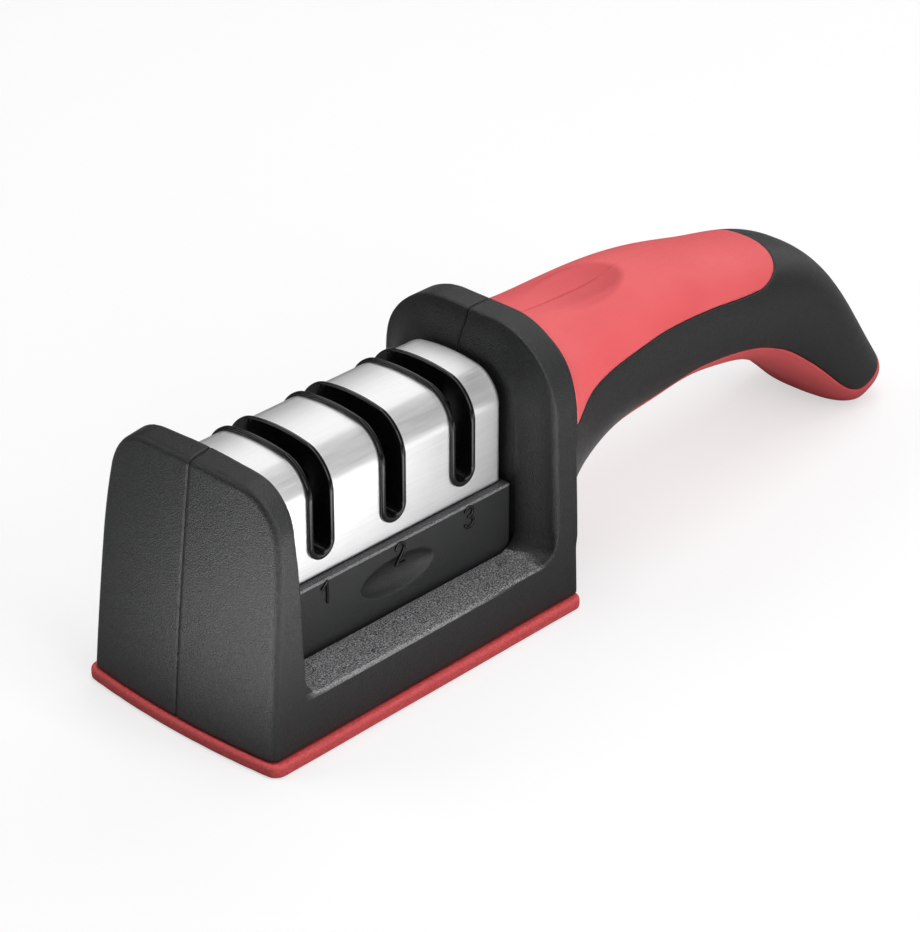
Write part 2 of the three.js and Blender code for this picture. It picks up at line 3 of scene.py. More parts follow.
import bpy
import numpy as np
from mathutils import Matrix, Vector


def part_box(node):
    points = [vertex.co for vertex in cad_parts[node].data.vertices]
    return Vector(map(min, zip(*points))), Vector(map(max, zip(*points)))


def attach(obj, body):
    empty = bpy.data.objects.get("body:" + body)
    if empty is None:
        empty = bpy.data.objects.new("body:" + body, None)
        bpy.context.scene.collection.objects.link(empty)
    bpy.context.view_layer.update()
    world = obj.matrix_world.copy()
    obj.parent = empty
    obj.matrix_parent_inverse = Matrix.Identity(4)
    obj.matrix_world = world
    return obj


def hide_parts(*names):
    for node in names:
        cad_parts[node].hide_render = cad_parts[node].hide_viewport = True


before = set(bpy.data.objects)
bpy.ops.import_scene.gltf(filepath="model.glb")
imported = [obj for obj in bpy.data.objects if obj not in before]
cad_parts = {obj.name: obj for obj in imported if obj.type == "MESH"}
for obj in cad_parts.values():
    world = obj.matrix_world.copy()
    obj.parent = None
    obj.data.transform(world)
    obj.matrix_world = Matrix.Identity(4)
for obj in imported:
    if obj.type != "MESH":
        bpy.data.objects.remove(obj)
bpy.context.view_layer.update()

# A pull-through knife sharpener. Shapes are written as signed distance fields in the body frame:
# millimetres, x = 0 at the front end of the base, y across (left is -y), z = 0 under the sole.
# Each field is turned into a mesh by dual contouring, and is negative inside the piece.

COARSE = 1.0
PAD_FRONT = -2.3                       # body x of the sole's foremost point
ORIGIN_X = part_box("base_pad")[0].x * 1000 - PAD_FRONT
CENTRE = np.array([ORIGIN_X, 0.0, 0.0])
PROBE = 0.03                            # step for slopes when vertices are placed
SHADING_PROBE = 0.12                    # wider step for the normals that the mesh is shaded with
CENTRE_PULL = 0.12                      # how strongly a vertex keeps to the middle of its crossings


# ---------------------------------------------------------------- field arithmetic

def rmax(a, b, r):
    """Intersection of two fields whose common edge is rounded to radius r."""
    return np.minimum(np.maximum(a, b), -r) + np.hypot(np.maximum(a + r, 0), np.maximum(b + r, 0))


def clip01(a):
    return np.clip(a, 0.0, 1.0)


def ease(a):
    a = clip01(a)
    return a * a * (3 - 2 * a)


def ramp(a, start, end):
    """0 at start, 1 at end, eased between them; start may be above end."""
    return ease((a - start) / (end - start))


def slab(a, low, high):
    return np.maximum(low - a, a - high)


def rod_y(x, z, cx, cz, radius):
    return np.hypot(x - cx, z - cz) - radius


def ellipsoid(dx, dy, dz, radii):
    rx, ry, rz = radii
    k0 = np.sqrt((dx / rx) ** 2 + (dy / ry) ** 2 + (dz / rz) ** 2)
    k1 = np.sqrt((dx / rx ** 2) ** 2 + (dy / ry ** 2) ** 2 + (dz / rz ** 2) ** 2)
    return k0 * (k0 - 1) / np.maximum(k1, 1e-6)


# ---------------------------------------------------------------- meshing

def gradient(field, points, step):
    out = np.empty_like(points)
    for k in range(3):
        shift = np.zeros(3)
        shift[k] = step
        out[:, k] = (field(*(points + shift).T) - field(*(points - shift).T)) / (2 * step)
    return out


def unit(vectors):
    return vectors / np.maximum(np.linalg.norm(vectors, axis=1, keepdims=True), 1e-9)


def crossings(value, axes):
    """Grid edges that pass through the surface: points on it, and the four cells round each."""
    size = value.shape
    cells = tuple(n - 1 for n in size)
    inside = value < 0
    points, rings = [], []
    for a in range(3):
        b, c = (a + 1) % 3, (a + 2) % 3
        low, high = [slice(None)] * 3, [slice(None)] * 3
        low[a], high[a] = slice(0, -1), slice(1, None)
        edge = np.argwhere(inside[tuple(low)] != inside[tuple(high)])
        keep = (edge[:, b] > 0) & (edge[:, b] < size[b] - 1) & (edge[:, c] > 0) & (edge[:, c] < size[c] - 1)
        edge = edge[keep]
        far = edge.copy()
        far[:, a] += 1
        v0, v1 = value[tuple(edge.T)], value[tuple(far.T)]
        point = np.stack([axes[k][edge[:, k]] for k in range(3)], 1)
        point[:, a] += v0 / (v0 - v1) * (axes[a][far[:, a]] - axes[a][edge[:, a]])
        ring = []
        for db, dc in ((-1, -1), (0, -1), (0, 0), (-1, 0)):
            cell = edge.copy()
            cell[:, b] += db
            cell[:, c] += dc
            ring.append(np.ravel_multi_index(tuple(cell.T), cells))
        ring = np.stack(ring, 1)
        inward = v0 >= 0
        ring[inward] = ring[inward][:, ::-1]
        points.append(point)
        rings.append(ring)
    return np.concatenate(points), np.concatenate(rings), cells


def contour(field, low, high, cell):
    """Mesh of a field's zero surface, with a vertex at the best corner inside each grid cell."""
    cell = cell * COARSE
    axes = [np.linspace(a, b, max(5, int(math.ceil((b - a) / cell)) + 1)) for a, b in zip(low, high)]
    size = tuple(len(axis) for axis in axes)
    value = field(axes[0][:, None, None], axes[1][None, :, None], axes[2][None, None, :])
    value = np.ascontiguousarray(np.broadcast_to(value, size))
    points, rings, cells = crossings(value, axes)
    normals = unit(gradient(field, points, PROBE))
    ids, faces = np.unique(rings, return_inverse=True)
    faces = faces.reshape(-1, 4)
    count = len(ids)
    flat = faces.ravel()
    weight = np.repeat(1.0, len(flat))
    total = np.bincount(flat, weight, count)
    middle = np.stack([np.bincount(flat, np.repeat(points[:, k], 4), count) for k in range(3)], 1)
    middle /= total[:, None]
    matrix = np.zeros((count, 3, 3))
    offset = np.repeat((normals * points).sum(1), 4)
    right = np.zeros((count, 3))
    for i in range(3):
        ni = np.repeat(normals[:, i], 4)
        right[:, i] = np.bincount(flat, ni * offset, count)
        for j in range(i, 3):
            matrix[:, i, j] = np.bincount(flat, ni * np.repeat(normals[:, j], 4), count)
            matrix[:, j, i] = matrix[:, i, j]
    right -= np.einsum("nij,nj->ni", matrix, middle)
    matrix += np.eye(3) * CENTRE_PULL
    place = middle + np.linalg.solve(matrix, right[:, :, None])[:, :, 0]
    at = np.unravel_index(ids, cells)
    lowest = np.stack([axes[k][at[k]] for k in range(3)], 1)
    highest = np.stack([axes[k][at[k] + 1] for k in range(3)], 1)
    place = np.clip(place, lowest, highest)
    for _ in range(2):
        slope = gradient(field, place, PROBE)
        step = field(*place.T)[:, None] * slope / np.maximum((slope ** 2).sum(1, keepdims=True), 0.1)
        place -= np.clip(step, -cell / 3, cell / 3)
    return place, faces, unit(gradient(field, place, SHADING_PROBE))


def to_object(name, points, faces, normals):
    mesh = bpy.data.meshes.new(name)
    mesh.vertices.add(len(points))
    mesh.vertices.foreach_set("co", ((points + CENTRE) / 1000).astype(np.float32).ravel())
    sides = faces.shape[1]
    mesh.loops.add(faces.size)
    mesh.loops.foreach_set("vertex_index", faces.astype(np.int32).ravel())
    mesh.polygons.add(len(faces))
    mesh.polygons.foreach_set("loop_start", np.arange(0, faces.size, sides, dtype=np.int32))
    mesh.polygons.foreach_set("loop_total", np.full(len(faces), sides, dtype=np.int32))
    mesh.polygons.foreach_set("use_smooth", np.ones(len(faces), dtype=bool))
    mesh.update(calc_edges=True)
    mesh.validate()
    if len(mesh.polygons) == len(faces):
        mesh.normals_split_custom_set_from_vertices(normals.astype(np.float32))
    obj = bpy.data.objects.new(name, mesh)
    bpy.context.collection.objects.link(obj)
    return obj


def make(name, body, material, mesh, stands_for=()):
    """A named piece on a body, in place of the CAD nodes that it stands for."""
    obj = to_object(name, *mesh)
    obj.data.materials.append(material)
    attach(obj, body)
    if stands_for:
        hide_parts(*stands_for)
    return obj


# ---------------------------------------------------------------- handle

# Stations along the handle: top x, top z, underside x, underside z, half width, roundness.
STATIONS = np.array([
    [81.3, 56.8, 81.3, 14.0, 22.4, 3.0],
    [85.0, 53.0, 84.5, 16.0, 20.9, 2.7],
    [92.0, 51.3, 91.0, 18.8, 18.6, 2.5],
    [104.0, 51.8, 102.2, 22.1, 16.5, 2.4],
    [118.0, 51.9, 114.8, 23.0, 15.2, 2.4],
    [132.0, 50.2, 127.2, 23.6, 14.4, 2.3],
    [146.4, 46.8, 139.2, 22.4, 14.1, 2.3],
    [162.1, 42.6, 150.0, 19.7, 13.7, 2.4],
    [175.3, 32.8, 160.5, 14.1, 13.9, 2.5],
    [184.7, 18.8, 169.8, 7.0, 14.2, 2.7],
    [191.9, 8.0, 176.3, 1.2, 14.1, 2.7],
])
LAST = len(STATIONS) - 1
TAIL_CAP = 4.6                          # how far the tail stands past its last station
TAIL_ROUND = 7.0
TAIL_CLEAR = 0.15                       # height of the tail's underside above the table
GRIP_THICK = 2.2
GRIP_GAP = 0.1
TABLE_STEP = 0.5
EDGE_STEP = 0.25
# The thumb rest is an ellipsoid cut, longer towards the pillar than towards the tail.
THUMB_X = 106
THUMB_Z = 58.6
THUMB_BEFORE = 36.0
THUMB_AFTER = 19.0
THUMB_HALF = 13.4
THUMB_HEIGHT = 8


def spline_bend(values):
    """Second derivatives of the natural cubic spline through evenly spaced values."""
    n = len(values)
    matrix = np.eye(n)
    right = np.zeros_like(values)
    for i in range(1, n - 1):
        matrix[i, i - 1:i + 2] = [1, 4, 1]
        right[i] = 6 * (values[i + 1] - 2 * values[i] + values[i - 1])
    return np.linalg.solve(matrix, right)


STATION_BEND = spline_bend(STATIONS)


def station(t, columns):
    """Smooth station values at t, from 0 at the root to LAST at the tail."""
    i = np.clip(np.floor(t).astype(int), 0, LAST - 1)
    b = t - i
    a = 1 - b
    out = []
    for c in columns:
        y, m = STATIONS[:, c], STATION_BEND[:, c]
        out.append(a * y[i] + b * y[i + 1] + ((a ** 3 - a) * m[i] + (b ** 3 - b) * m[i + 1]) / 6)
    return out


def off_section(t, x, z):
    """How far (x, z) lies from the line through the section at t, towards the tail."""
    tx, tz, ux, uz = station(t, (0, 1, 2, 3))
    hx, hz = tx - ux, tz - uz
    length = np.hypot(hx, hz)
    ahead = ((x - ux) * hz - (z - uz) * hx) / length
    along = ((x - ux) * hx + (z - uz) * hz) / length ** 2
    return ahead, along, length


def station_table():
    """Which section each point of the handle's middle plane lies on, on a regular grid."""
    xs = np.arange(70.0, 206.0, TABLE_STEP)
    zs = np.arange(-10.0, 72.0, TABLE_STEP)
    ts = np.linspace(0, LAST, 401)
    table = np.empty((len(xs), len(zs)))
    for row, x in enumerate(xs):
        ahead, along, length = off_section(ts[None, :], x, zs[:, None])
        cost = np.abs(ahead) + 3 * length * np.maximum(np.abs(along - 0.5) - 0.5, 0)
        table[row] = ts[np.argmin(cost, axis=1)]
    return xs, zs, table


TABLE_X, TABLE_Z, TABLE = station_table()


def section_at(x, z):
    """Which section a point lies on, read from the table and then refined twice."""
    fx = np.clip((x - TABLE_X[0]) / TABLE_STEP, 0, len(TABLE_X) - 1.001)
    fz = np.clip((z - TABLE_Z[0]) / TABLE_STEP, 0, len(TABLE_Z) - 1.001)
    ix, iz = fx.astype(int), fz.astype(int)
    ax, az = fx - ix, fz - iz
    t = ((TABLE[ix, iz] * (1 - ax) + TABLE[ix + 1, iz] * ax) * (1 - az)
         + (TABLE[ix, iz + 1] * (1 - ax) + TABLE[ix + 1, iz + 1] * ax) * az)
    for _ in range(2):
        ahead = off_section(t, x, z)[0]
        rate = (off_section(t + 0.02, x, z)[0] - ahead) / 0.02
        t = np.clip(t - np.clip(ahead / np.minimum(rate, -2.0), -0.3, 0.3), 0, LAST)
    return t


def tail_ahead(x, z):
    return off_section(np.array(float(LAST)), x, z)[0]


def handle(x, y, z):
    """The handle's whole outside, without the gap between grips and core."""
    t = section_at(x, z)
    tx, tz, ux, uz, half, power = station(t, range(6))
    hx, hz = (tx - ux) / 2, (tz - uz) / 2
    reach = np.hypot(hx, hz)
    v = np.abs(((x - (tx + ux) / 2) * hx + (z - (tz + uz) / 2) * hz) / reach ** 2) + 1e-4
    u = np.abs(y) / half + 1e-4
    q = (v ** power + u ** power) ** (1 / power)
    steep = q ** (1 - power) * np.hypot(v ** (power - 1) / reach, u ** (power - 1) / half)
    shape = (q - 1) / np.maximum(steep, 0.03)
    shape = np.maximum(shape, STATIONS[0, 0] - 5 - x)
    shape = rmax(shape, tail_ahead(x, z) - TAIL_CAP, TAIL_ROUND)
    shape = rmax(shape, TAIL_CLEAR - z, 1.5)
    length = np.where(x < THUMB_X, THUMB_BEFORE, THUMB_AFTER)
    thumb = ellipsoid(x - THUMB_X, y, z - THUMB_Z, (length, THUMB_HALF, THUMB_HEIGHT))
    return rmax(shape, -thumb, 0.4)


def smooth_edge(points, width):
    """A side-view line through points, rounded off over width, as heights at even steps in x."""
    points = np.array(points, float)
    xs = np.arange(60.0, 210.0, EDGE_STEP)
    zs = np.interp(xs, points[:, 0], points[:, 1])
    count = int(width / EDGE_STEP) | 1
    padded = np.pad(zs, count // 2, mode="edge")
    for _ in range(2):
        zs = np.convolve(padded, np.ones(count) / count, mode="valid")
        padded = np.pad(zs, count // 2, mode="edge")
    return xs, zs, np.gradient(zs, xs)


TOP_EDGE = smooth_edge([
    (78, 37.5), (82, 38.3), (90, 40.8), (98, 41.8), (108, 42.4), (115, 42.8), (123, 42.4),
    (131.5, 41.6), (140, 40.4), (146, 39.8), (165, 39.8)], 4)
UNDER_EDGE = smooth_edge([
    (91, 14), (95, 24.5), (101, 27.6), (110, 28.1), (120, 28.2), (130, 28.8), (139, 28.2),
    (148, 26.3), (158, 21.9), (167, 15.1), (174, 8.6), (178, 5.0), (181.5, 4.4),
    (185, 6.4), (189, 10), (198, 15)], 5)
TOP_END = (146.0, 46.3, 10.6, 6.5)      # centre x and z, and half axes, of the top grip's rounded end


def above(edge, x, z):
    """Distance above a side-view line; negative below it."""
    xs, zs, slopes = edge
    return (z - np.interp(x, xs, zs)) / np.hypot(1, np.interp(x, xs, slopes))


def top_region(x, z):
    """Negative where the top grip is."""
    cx, cz, rx, rz = TOP_END
    end = ellipsoid(np.maximum(x - cx, 0), 0, np.minimum(z - cz, 0), (rx, 1, rz))
    side = -above(TOP_EDGE, x, z)
    return np.maximum(np.where(x < cx, side, end), STATIONS[0, 0] + 0.1 + 0.35 * ramp(z, 46, 56) - x)


def under_region(x, z):
    """Negative where the grip under the handle is."""
    return np.maximum(above(UNDER_EDGE, x, z), 91.5 - x)


def grip_field(region, side, overlap):
    """One half of a rubber grip, laid in the handle. Past the thumb rest, overlap closes its joint."""
    def field(x, y, z):
        outer = handle(x, y, z)
        shape = rmax(outer, region(x, z) + GRIP_GAP, 0.3)
        shape = np.maximum(shape, -(outer + GRIP_THICK))
        seam = 0.03 - 0.06 * ramp(-shape, 0.5, 1.0) - overlap * ramp(x, 106, 115)
        return rmax(shape, seam - y * side, 0.1)
    return field


# ---------------------------------------------------------------- housing

SEAM = 0.11                             # half the width of the groove between the shells
SEAM_CLOSE = 0.13                       # below the groove each shell comes this much closer
BASE_BOTTOM = 2.8
REAR = 81.3
FRONT_TOP = 54.1
REAR_TOP = 57.5
LEDGE = 13.25
WELL = {"x": (9.9, 72.1), "half": 14.8, "floor": 7.3}        # takes the cartridge
POCKET = {"x": (1.4, 78.9), "half": 21.8, "top": 6.1}        # takes the base plate from below
BASE_SCREWS = [(x, y) for x in (15, 68) for y in (-18.5, 18.5)]
BASE_HOLE = {"radius": 1.7, "top": 11.1}
HANDLE_SCREWS = [(97, 35), (132, 35), (168, 22)]
HANDLE_HOLE = {"radius": 1.8, "tip": -8.8, "recess": 3.4, "seat": 7}
SOLE_HOLE = 3.4
SOLE_HALF = 25.4
SOLE_TOP = 2.45


def lean(z):
    """How far the front leans back at a height."""
    return 0.085 * (z - 3) + 0.0006 * (z - 3) ** 2


def front_face(x, ay, z):
    return lean(z) - 1.5 * (1 - (ay / 24) ** 2) - x


def block(x, y, z):
    """The base and both pillars, before the well for the cartridge is cut."""
    ay = np.abs(y)
    flank = ay - (24.2 - 0.5 * clip01((x - 10) / 62) - 0.036 * (z - 3))
    top = FRONT_TOP - 0.0033 * ay ** 2 - 0.15 * (9 - x)
    front = rmax(flank + 0.004 * np.maximum(0, z - 30) ** 2, z - top, 7.5)
    rear = rmax(flank, z - REAR_TOP, 15.5)
    outline = np.where(x < 41, front, rear)
    shape = rmax(outline, front_face(x, ay, z), 1.0 + 0.6 * ramp(z, 52, 45))
    shape = rmax(shape, x - REAR, 0.7 + 0.8 * ramp(z, 16, 12))
    inward = ease(-outline / 8)
    ledge = LEDGE - 0.07 * np.clip(ay - 14.5, 0, 9)
    bay = np.maximum(8.7 + np.maximum(1.2 * inward, 0.8 * ramp(z, 43, 53)) - x, x - (75 - 3 * inward))
    bay = rmax(bay, ledge - z, 4.0)
    soft = ramp(z, 50, 42) * ramp(z, 14, 20) * ramp(x, 40, 60)
    shape = rmax(shape, -bay, 0.4 + 0.8 * soft)
    return rmax(shape, BASE_BOTTOM - z, 0.25)


def housing_field(side):
    """One shell. A groove runs down the joint, and just under it the halves overlap by 0.02 mm each."""
    def field(x, y, z):
        ay = np.abs(y)
        shape = block(x, y, z)
        well = np.maximum(np.maximum(ay - WELL["half"], slab(x, *WELL["x"])), WELL["floor"] - z)
        shape = rmax(shape, -well, 0.25)
        pocket = np.maximum(np.maximum(ay - POCKET["half"], slab(x, *POCKET["x"])), z - POCKET["top"])
        shape = np.maximum(shape, -pocket)
        outer = handle(x, y, z)
        region = np.minimum(top_region(x, z), under_region(x, z))
        core = np.minimum(rmax(outer, -region, 0.25), outer + GRIP_THICK + GRIP_GAP)
        shape = np.minimum(shape, core)
        for sx, sy in BASE_SCREWS:
            if sy * side > 0:
                hole = np.maximum(np.hypot(x - sx, y - sy) - BASE_HOLE["radius"], z - BASE_HOLE["top"])
                shape = np.maximum(shape, -hole)
        for sx, sz in HANDLE_SCREWS:
            hole = np.maximum(rod_y(x, z, sx, sz, HANDLE_HOLE["radius"]), HANDLE_HOLE["tip"] - y)
            shape = np.maximum(shape, -hole)
            if side > 0:
                recess = np.maximum(rod_y(x, z, sx, sz, HANDLE_HOLE["recess"]), HANDLE_HOLE["seat"] - y)
                shape = rmax(shape, -recess, 0.3)
        seam = SEAM - SEAM_CLOSE * ramp(-shape, 0.5, 1.0)
        return rmax(shape, seam - y * side, 0.1)
    return field


def pad_field(x, y, z):
    """Rubber sole, a little larger than the base all round."""
    ay = np.abs(y)
    face = front_face(x, ay, np.array(3.0)) - 0.8
    shape = rmax(ay - SOLE_HALF + 0.5 * clip01((x - 10) / 62), face, 2.2)
    shape = rmax(shape, x - REAR, 2.2)
    shape = rmax(shape, z - SOLE_TOP, 0.8)
    shape = rmax(shape, -z, 0.5)
    for sx, sy in BASE_SCREWS:
        shape = rmax(shape, SOLE_HOLE - np.hypot(x - sx, y - sy), 0.25)
    return shape


# ---------------------------------------------------------------- cartridge

STAGES = (23.4, 41.7, 60.0)
PARTITIONS = (32.55, 50.85)
BODY_X = (10.3, 71.5)
BODY_HALF = 14.5
BODY_BOTTOM = 10.7
SHELF = 27.1
COVER_X = (10.3, 70.7)
COVER_BOTTOM = 27.3
COVER_HALF = 12.7
COVER_TOP = 50.9
COVER_THICK = 0.8
# Slots with round bottoms: half width and lowest point.
COVER_SLOT = (2.75, 30.9)
RIM_OUTER = (3.15, 30.6)
SLEEVE_OUTER = (2.6, 31.15)
SLOT_WAY = (2.05, 31.8)
SCREW_WAY = 1.5


def arch(y, z, grow):
    """Cross-section of the arched cover, grown outwards by grow."""
    ay = np.abs(y)
    top = COVER_TOP - 0.013 * ay ** 2
    return rmax(ay - COVER_HALF, z - top, 5.5) - grow


def slot_shape(x, z, centre, half, bottom):
    """An upright slot with a round bottom."""
    return np.hypot(x - centre, np.minimum(z - bottom - half, 0)) - half


def cover_field(x, y, z):
    """Arched steel sheet with a slot over each stage."""
    outer = arch(y, z, 0)
    shape = rmax(outer, slab(x, *COVER_X), 0.2 + 0.8 * ramp(x, 40, 60))
    shape = rmax(shape, COVER_BOTTOM - z, 0.12)
    for centre in STAGES:
        shape = rmax(shape, -slot_shape(x, z, centre, *COVER_SLOT), 0.12)
    return np.maximum(shape, -(outer + COVER_THICK))


def guide_field(centre):
    """Liner of one slot: a raised rim over the cover, and a sleeve down through it."""
    def field(x, y, z):
        level = arch(y, z, 0)
        rim = rmax(slot_shape(x, z, centre, *RIM_OUTER), level - 0.75, 0.35)
        rim = np.maximum(rim, 0.12 - level)
        sleeve = np.maximum(slot_shape(x, z, centre, *SLEEVE_OUTER), np.maximum(level - 0.5, -level - 5))
        return rmax(np.minimum(rim, sleeve), -slot_shape(x, z, centre, *SLOT_WAY), 0.4)
    return field


def frame_field(x, y, z):
    """Body of the cartridge: side panels, end walls and partitions up to the cover."""
    ay = np.abs(y)
    skin = rmax(rmax(ay - BODY_HALF, slab(x, *BODY_X), 0.5), z - SHELF, 0.3)
    skin = rmax(skin, BODY_BOTTOM - z, 0.3)
    inside = np.maximum(ay - 11.3, slab(x, 12.3, 68.7))
    skin = np.maximum(skin, -inside)
    walls = np.minimum(slab(x, 10.3, 12.3), slab(x, 68.7, 70.7))
    for centre in PARTITIONS:
        walls = np.minimum(walls, slab(x, centre - 1.2, centre + 1.2))
        boss = np.maximum(np.hypot(x - centre, y) - 3.4, z - 20)
        walls = np.minimum(walls, np.maximum(boss, slab(x, centre - 1.7, centre + 1.7)))
    walls = np.maximum(walls, np.maximum(arch(y, z, -1.1), BODY_BOTTOM - z))
    shape = np.minimum(skin, walls)
    for centre in PARTITIONS:
        shape = np.maximum(shape, -np.maximum(np.hypot(x - centre, y) - SCREW_WAY, z - 19.3))
    scoop = ellipsoid(x - 41.2, ay - BODY_HALF, z - 20.4, (9, 1.5, 3.2))
    return rmax(shape, -scoop, 0.6)


def floor_field(x, y, z):
    """Plate under the cartridge, with a countersunk hole for each screw."""
    shape = rmax(rmax(np.abs(y) - BODY_HALF, slab(x, *BODY_X), 0.5), slab(z, 7.6, 10.4), 0.4)
    for centre in PARTITIONS:
        from_axis = np.hypot(x - centre, y)
        shape = np.maximum(shape, SCREW_WAY - from_axis)
        shape = rmax(shape, -np.maximum(from_axis - 2.7, z - 9.3), 0.15)
    return shape


# Generic numerals as strokes, (across, up) in mm, each 2.2 wide and 4.3 tall.
NUMERALS = (
    [[(0.0, 3.2), (1.25, 4.3), (1.25, 0.0)]],
    [[(0.0, 3.3), (0.15, 3.85), (0.6, 4.22), (1.1, 4.3), (1.65, 4.18), (2.05, 3.75), (2.12, 3.2),
      (1.9, 2.6), (1.45, 2.0), (0.8, 1.2), (0.3, 0.5), (0.0, 0.0), (2.2, 0.0)]],
    [[(0.05, 3.65), (0.5, 4.15), (1.1, 4.3), (1.7, 4.12), (2.02, 3.6), (1.95, 2.95), (1.55, 2.45),
      (0.9, 2.3)],
     [(0.9, 2.3), (1.6, 2.15), (2.1, 1.65), (2.2, 1.05), (1.9, 0.4), (1.25, 0.0), (0.6, 0.1),
      (0.05, 0.65)]],
)
NUMERAL_STARTS = (21.85, 40.7, 59.0)
NUMERAL_FOOT = 22.3
NUMERAL_HALF = 1.1
NUMERAL_STROKE = 0.3                    # half the stroke's width
NUMERAL_DEPTH = (14.3, 14.85)           # from inside the panel to its raised face


def numeral_field(strokes, start, side):
    """A raised numeral that reads the right way round from its own side of the cartridge."""
    middle = start + NUMERAL_HALF

    def field(x, y, z):
        u = (x - middle) * -side + NUMERAL_HALF
        v = z - NUMERAL_FOOT
        nearest = None
        for line in strokes:
            for (x0, y0), (x1, y1) in zip(line, line[1:]):
                dx, dy = x1 - x0, y1 - y0
                share = clip01(((u - x0) * dx + (v - y0) * dy) / (dx * dx + dy * dy))
                distance = np.hypot(u - x0 - share * dx, v - y0 - share * dy)
                nearest = distance if nearest is None else np.minimum(nearest, distance)
        return rmax(nearest - NUMERAL_STROKE, slab(y * side, *NUMERAL_DEPTH), 0.15)
    return field


# ---------------------------------------------------------------- screws, rods and blades

def screw_field(shaft, head, head_height, length, thread_pitch):
    """A pan-head screw along +z with the underside of its head at z = 0 and its tip at z = length."""
    def field(x, y, z):
        from_axis = np.hypot(x, y)
        turn = np.arctan2(y, x) / (2 * math.pi)
        wave = np.abs(((z / thread_pitch - turn) % 1.0) - 0.5) * 2
        threaded = ramp(z, 0.6, 1.4)
        depth = 0.24 * shaft * wave * threaded
        rod = (from_axis - shaft + depth) * 0.8
        taper = (from_axis - (length - z) * 0.75 - 0.25) * 0.8
        rod = np.maximum(np.maximum(rod, taper), slab(z, -0.5, length))
        cap = rmax(from_axis - head, -head_height - z, head_height * 0.7)
        cap = rmax(cap, z, 0.15)
        shape = np.minimum(rod, cap)
        arm = np.minimum(np.maximum(np.abs(x) - 0.13 * head, np.abs(y) - 0.52 * head),
                         np.maximum(np.abs(y) - 0.13 * head, np.abs(x) - 0.52 * head))
        cross = np.maximum(arm, z + head_height * 0.35)
        return rmax(shape, -cross, 0.08)
    return field


def turned(mesh, origin, towards):
    """A mesh made along +z, moved so that its z axis points towards a direction from origin."""
    points, faces, normals = mesh
    turn = np.array(Vector((0, 0, 1)).rotation_difference(Vector(towards)).to_matrix())
    return points @ turn.T + np.array(origin, float), faces, normals @ turn.T


def rod_mesh(radius, length):
    def field(x, y, z):
        return rmax(np.hypot(x, y) - radius, slab(z, 0, length), 0.4)
    reach = radius + 0.5
    return contour(field, (-reach, -reach, -0.5), (reach, reach, length + 0.5), 0.24)


def blade_mesh(width, length, thick, hole):
    """A carbide blade standing in the xz plane, centred, with ground bevels down both long sides."""
    def field(x, y, z):
        ax = np.abs(x)
        shape = np.maximum(np.maximum(ax - width / 2, np.abs(z) - length / 2), np.abs(y) - thick / 2)
        bevel = (ax - width / 2 + (np.abs(y) + thick / 2) * 0.55 - 0.28) / math.hypot(1, 0.55)
        shape = np.maximum(shape, bevel)
        return rmax(shape, hole - np.hypot(x, z), 0.12)
    half = (width / 2 + 0.4, thick / 2 + 0.3, length / 2 + 0.4)
    return contour(field, tuple(-h for h in half), half, 0.2)


# ---------------------------------------------------------------- materials

def place_along(x):
    """A body x in millimetres, as object x in metres."""
    return (ORIGIN_X + x) / 1000


